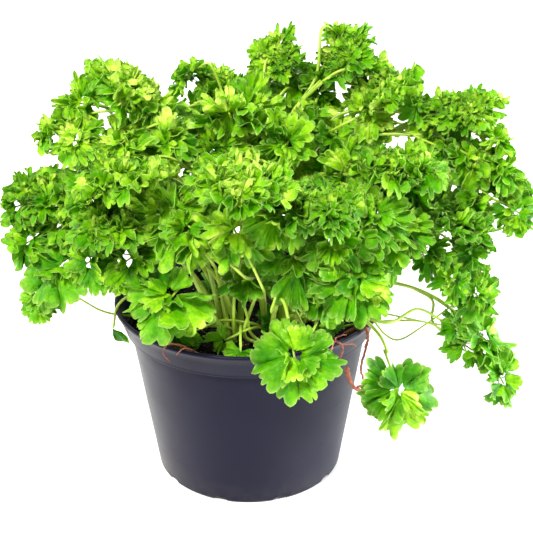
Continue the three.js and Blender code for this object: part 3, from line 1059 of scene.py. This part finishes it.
# side heads on their own stalks: frond, where they leave its petiole (0 to 1), the middle of the
# head and its length, in mm
sideHeads = [
    ("21", 0.75, (-96, 15, 180), 32), ("21", 0.85, (-44, 8, 187), 32),
    ("21", 0.80, (-60, -12, 182), 36), ("21", 0.65, (-82, 0, 180), 34),
    ("21", 0.70, (-80, 15, 194), 36), ("08", 0.72, (-108, -8, 130), 36),
    ("06", 0.80, (-104, -25, 106), 28), ("08", 0.60, (-76, -22, 156), 38),
    ("06", 0.60, (-74, -38, 132), 38), ("08", 0.80, (-114, 0, 146), 30),
    ("08", 0.65, (-92, -10, 138), 34), ("18", 0.70, (-56, -22, 176), 40),
    ("18", 0.05, (-38, -46, 160), 42), ("18", 0.75, (-36, -20, 184), 36),
    ("09", 0.70, (-56, -42, 134), 40), ("27", 0.70, (-17, -16, 180), 38),
    ("27", 0.80, (1, -4, 196), 34), ("17", 0.04, (-26, -56, 156), 42), ("17", 0.75, (16, -62, 166), 42),
    ("17", 0.04, (-6, -60, 156), 42), ("19", 0.05, (20, -55, 140), 44),
    ("19", 0.75, (38, -58, 152), 44), ("19", 0.80, (56, -48, 158), 42),
    ("19", 0.50, (50, -52, 134), 38), ("05", 0.05, (36, -58, 126), 36),
    ("05", 0.75, (68, -38, 132), 28), ("20", 0.70, (80, -14, 158), 38),
    ("20", 0.60, (70, -38, 150), 38), ("20", 0.65, (60, -20, 166), 36), ("26", 0.70, (42, -4, 180), 40),
    ("26", 0.80, (46, -24, 168), 40), ("26", 0.85, (18, -20, 184), 38),
    ("26", 0.60, (20, -12, 172), 38), ("23", 0.75, (96, 6, 188), 32), ("23", 0.65, (58, 2, 192), 34),
    ("23", 0.85, (84, 4, 194), 28), ("23", 0.60, (92, 0, 180), 28), ("12", 0.75, (108, -4, 170), 36),
    ("12", 0.85, (122, 0, 178), 28), ("12", 0.80, (124, -5, 164), 30), ("11", 0.70, (110, -8, 150), 34),
    ("11", 0.90, (134, -6, 144), 32), ("10", 0.75, (110, -14, 126), 34),
    ("10", 0.60, (86, -26, 130), 32), ("10", 0.85, (100, -30, 116), 28),
    ("10", 0.90, (114, -18, 104), 30), ("03", 0.80, (130, -20, 56), 38),
    ("03", 0.70, (112, -20, 74), 30), ("02", 0.55, (106, -20, 86), 22), ("25", 0.80, (22, 34, 206), 28),
    ("25", 0.65, (8, 40, 194), 30), ("25", 0.70, (24, 30, 196), 30), ("24", 0.75, (54, 22, 200), 32),
    ("24", 0.60, (35, 25, 196), 32), ("24", 0.85, (46, 35, 223), 22), ("24", 0.80, (62, 20, 208), 30),
    ("22", 0.75, (-16, 42, 192), 30), ("22", 0.80, (-29, 42, 201), 28),
    ("22", 0.65, (-42, 30, 180), 40), ("16", 0.70, (20, 56, 174), 42), ("16", 0.75, (-24, 60, 170), 42),
    ("13", 0.70, (-58, 52, 158), 42), ("14", 0.70, (-52, 60, 128), 40),
    ("15", 0.70, (106, 42, 158), 34), ("15", 0.80, (88, 66, 136), 40), ("13", 0.80, (-88, 46, 140), 38),
    ("15", 0.60, (40, 64, 150), 42), ("16", 0.60, (0, 80, 140), 42), ("14", 0.80, (-30, 86, 116), 40),
    ("15", 0.75, (50, 86, 118), 42),
]


# small low leaves: frond, where they leave its petiole, middle and length in mm, plan, and how much
# lighter they are than the frond
basalHeads = [
    ("17", 0.03, (-14, -52, 95), 18, "trio", -0.12), ("17", 0.03, (-28, -44, 96), 18, "trio", -0.20),
    ("07", 0.03, (-4, -64, 93), 15, "trio", 0.10), ("07", 0.03, (-20, -22, 104), 22, "trio", -0.25),
    ("04", 0.03, (-38, -44, 96), 18, "trio", -0.10), ("05", 0.03, (40, -40, 100), 24, "trio", -0.05),
    ("19", 0.03, (12, -30, 98), 18, "trio", -0.15), ("01", 0.10, (25, -52, 98), 17, "single", 0.35),
    ("06", 0.42, (-68, -22, 79), 19, "single", -0.10), ("27", 0.03, (-20, -10, 106), 24, "trio", -0.20),
    ("23", 0.03, (38, 0, 104), 26, "trio", -0.15), ("16", 0.03, (0, 30, 104), 26, "trio", -0.15),
    ("14", 0.03, (-22, 34, 102), 24, "trio", -0.1), ("15", 0.03, (30, 34, 102), 24, "trio", -0.1),
]

# loose stalks whose leaves are lost among the others: frond, thickness and points in mm
looseStalks = [
    ("07", 2.6, [(-7, -37, 86), (-11, -42, 93), (-21, -45, 114), (-29, -45, 134), (-35, -40, 148),
                 (-38, -30, 156)]),
    ("17", 1.7, [(-6, -35, 86), (-7, -41, 92), (-7, -45, 114), (-4, -45, 132), (-1, -34, 146)]),
    ("17", 1.5, [(9, -38, 86), (1, -43, 95), (-1, -46, 107), (-5, -47, 121), (-10, -38, 136)]),
    ("19", 1.8, [(8, -37, 86), (-2, -44, 94), (1, -45, 109), (7, -45, 124), (14, -32, 138)]),
    ("05", 1.9, [(13, -40, 86), (20, -45, 98), (27, -46, 110), (37, -44, 117), (50, -34, 120)]),
    ("03", 1.2, [(40, -16, 88), (54, -18, 96), (66, -18, 94), (91, -18, 88), (112, -18, 84)]),
    ("03", 1.3, [(44, -20, 86), (60, -22, 90), (76, -22, 91), (90, -22, 90), (101, -22, 84),
                 (112, -20, 72)]),
    ("10", 1.2, [(50, -14, 88), (62, -14, 89), (71, -14, 79), (79, -14, 76), (92, -14, 85),
                 (110, -16, 101)]),
    ("06", 1.4, [(-48, -12, 90), (-62, -12, 90), (-76, -10, 92), (-90, -10, 101), (-102, -14, 108)]),
]


# a head on a side stalk faces outward and up, and at the front also forward
def headAxes(middle, toHead, lean):
    outward = unit(middle * (1, 1, 0) + (0, 0, 1e-6))
    forwardShare = float(np.clip((45 * mm - middle[1]) / (60 * mm), 0, 1))
    normal = unit(outward * 0.6 + np.array([0, -0.55 * forwardShare, 0.62]) + lean)
    forward = unit(toHead) + outward * 0.5
    forward = unit(forward - normal * (forward @ normal))
    return np.stack([forward, np.cross(normal, forward), normal], -1)


# a leaf that hangs with its face to the front
hangingForward = unit(np.array([0.15, -0.25, -0.96]))
hangingLeft = unit(np.array([0.98, -0.05, 0.17]))
hangingAxes = np.stack([hangingForward, hangingLeft, np.cross(hangingForward, hangingLeft)], -1)


def makeFrond(tag, shape):
    rng = np.random.default_rng(1000 + int(tag))
    centres, radii = stemRings(f"stem_{tag}")
    path = smoothPath(centres, shape["petioleSteps"])
    t = np.linspace(0, 1, len(path))
    width = np.interp(t, np.linspace(0, 1, len(radii)), radii)
    # the foot of a petiole widens into a sheath
    width = width * (0.86 + 0.3 * np.exp(-t / 0.04))
    path = np.concatenate([path[:1] + (path[:1] - path[1:2]) * 0.6, path])
    width = np.concatenate([width[:1] * 0.9, width])
    points, faces, crest = tube(path, width, shape["sides"], shape["ridges"], shape["ridgeDepth"])
    stalks, blades = Heap(), Heap()
    petioleTone = rng.uniform(0.4, 0.65)
    # darker toward the blade
    fade = 0.25 * np.linspace(0, 1, len(path)) ** 2
    shaded = np.concatenate([np.repeat(petioleTone - fade, shape["sides"]),
                             [petioleTone, petioleTone - 0.25]])
    stalks.add(points, faces, shaded, crest)
    fork, axes, length = bladePlace(f"leaf_{tag}", centres[-1])
    height = (fork + axes[:, 0] * length / 2)[2]
    curl = float(np.clip((height - shape["frilledAbove"]) / (60 * mm), 0, 1))
    kind = "frilled" if curl > 0 else "broad"
    tone = 0.38 + 0.18 * curl + rng.uniform(-0.05, 0.05) + toneShifts.get(tag, 0)
    scale = bladeScales.get(tag, shape["bladeScale"])
    addBlade(blades, stalks, rng, fork, axes, length * scale, kind, kind, curl, tone)
    for owner, at, middle, size in sideHeads:
        if owner == tag:
            middle = np.array(middle) * mm
            addSideHead(blades, stalks, rng, path, at, middle, size * mm, "sprig", curl, tone)
    for owner, at, middle, size, plan, shift in basalHeads:
        if owner == tag:
            middle = np.array(middle) * mm
            addSideHead(blades, stalks, rng, path, at, middle, size * mm, plan, 0, tone + shift)
    for owner, thick, corners in looseStalks:
        if owner == tag:
            steps = shape["looseSteps"]
            line = smoothPath([np.array(corner) * mm for corner in corners], steps)
            taper = np.linspace(0.5, 0.36, steps) * thick * mm
            points, faces, crest = tube(line, taper, 14, 6, 0.08)
            stalks.add(points, faces, rng.uniform(0.3, 0.5), crest)
    blades.build(f"blade{tag}", leafMaterial, "leaf", f"leaf_{tag}")
    stalks.build(f"petiole{tag}", petioleMaterial, "petiole", f"stem_{tag}")


# a small blade round a middle point, on a stalk that leaves the petiole's path at a share of its length
def addSideHead(blades, stalks, rng, path, at, middle, size, plan, curl, tone):
    start = path[int(at * (len(path) - 1))]
    along = unit(path[min(int(at * len(path)) + 2, len(path) - 1)] - start)
    axes = headAxes(middle, middle - start, rng.uniform(-0.25, 0.25, 3))
    if plan == "single":
        axes = hangingAxes
    fork = middle - axes[:, 0] * size * 0.45
    toFork = fork - start
    reach = np.linalg.norm(toFork)
    # a long stalk is thick and arches; a short one at the foot runs nearly straight
    isLow = plan != "sprig"
    lead = 0.1 if isLow else 0.3
    steps = 28
    leaves = start + along * reach * lead + toFork * 0.15
    arrives = fork - axes[:, 0] * reach * 0.15 - toFork * 0.15 + (0, 0, 0.04 * reach)
    line = smoothPath([start, leaves, arrives, fork], steps)
    thick = float(np.interp(reach, [30 * mm, 90 * mm], [0.8, 1.25]))
    stalk, faces, crest = tube(line, np.linspace(thick, 0.6, steps) * mm, 12, 6, 0.08)
    stalks.add(stalk, faces, np.repeat(0.45, len(stalk)) if thick > 1 else 0.25, crest)
    kind = "plain" if plan == "single" else "frilled" if curl > 0.1 else "broad"
    addBlade(blades, stalks, rng, fork, axes, size, plan, kind, curl, tone)


for tag in frondTags:
    makeFrond(tag, frondShape)
print("fronds made:", len(frondTags))


# dry bits caught on the rim: each a thickness in mm and points (degrees round the pot, radius and
# height in mm)

dryBits = [
    (1.0, [(-38, 60, 91), (-37, 68, 97), (-37, 73, 95), (-36, 71, 84), (-36, 69, 74), (-35, 70, 67)]),
    (1.2, [(-45, 68, 78), (-42, 67, 70), (-39, 68, 64), (-34, 71, 59), (-29, 72, 53), (-26, 69, 48)]),
    (0.6, [(-39, 68, 64), (-36, 70, 64), (-34, 72, 61)]),
    (0.7, [(-58, 58, 89), (-56, 66, 96), (-54, 71, 98), (-52, 73, 94), (-53, 72, 88), (-51, 70, 83)]),
    (0.5, [(-50, 60, 90), (-52, 67, 97), (-55, 71, 98), (-58, 73, 94), (-59, 73, 90)]),
    (0.5, [(-61, 60, 90), (-56, 66, 95), (-51, 68, 98), (-46, 68, 97), (-44, 64, 92)]),
    (0.4, [(-53, 72, 96), (-48, 74, 95), (-45, 73, 92)]),
    (0.5, [(-118, 58, 89), (-121, 66, 96), (-123, 71, 98), (-124, 73, 94), (-122, 71, 89)]),
    (0.4, [(-128, 60, 90), (-126, 67, 96), (-122, 69, 98), (-117, 67, 97), (-113, 60, 90)]),
    (0.4, [(-112, 60, 90), (-115, 67, 96), (-116, 71, 98), (-118, 73, 95)]),
]


def makeDryBits(rows):
    rng = np.random.default_rng(23)
    heap = Heap()
    for thickness, places in rows:
        points = [(r * mm * math.cos(math.radians(a)), r * mm * math.sin(math.radians(a)), z * mm)
                  for a, r, z in places]
        steps = 9 * len(points)
        path = smoothPath(points, steps)
        path[2:-2] += rng.normal(0, 0.12, (steps - 4, 3)) * mm
        width = np.linspace(thickness, thickness * 0.5, steps) * rng.uniform(0.8, 1.15, steps) * mm
        island, faces, crest = tube(path, width, 9, 4, 0.15)
        heap.add(island, faces, rng.uniform(0.2, 0.8), crest)
    heap.build("dryBits", dryMaterial, "root")


makeDryBits(dryBits)
print("dry bits made")
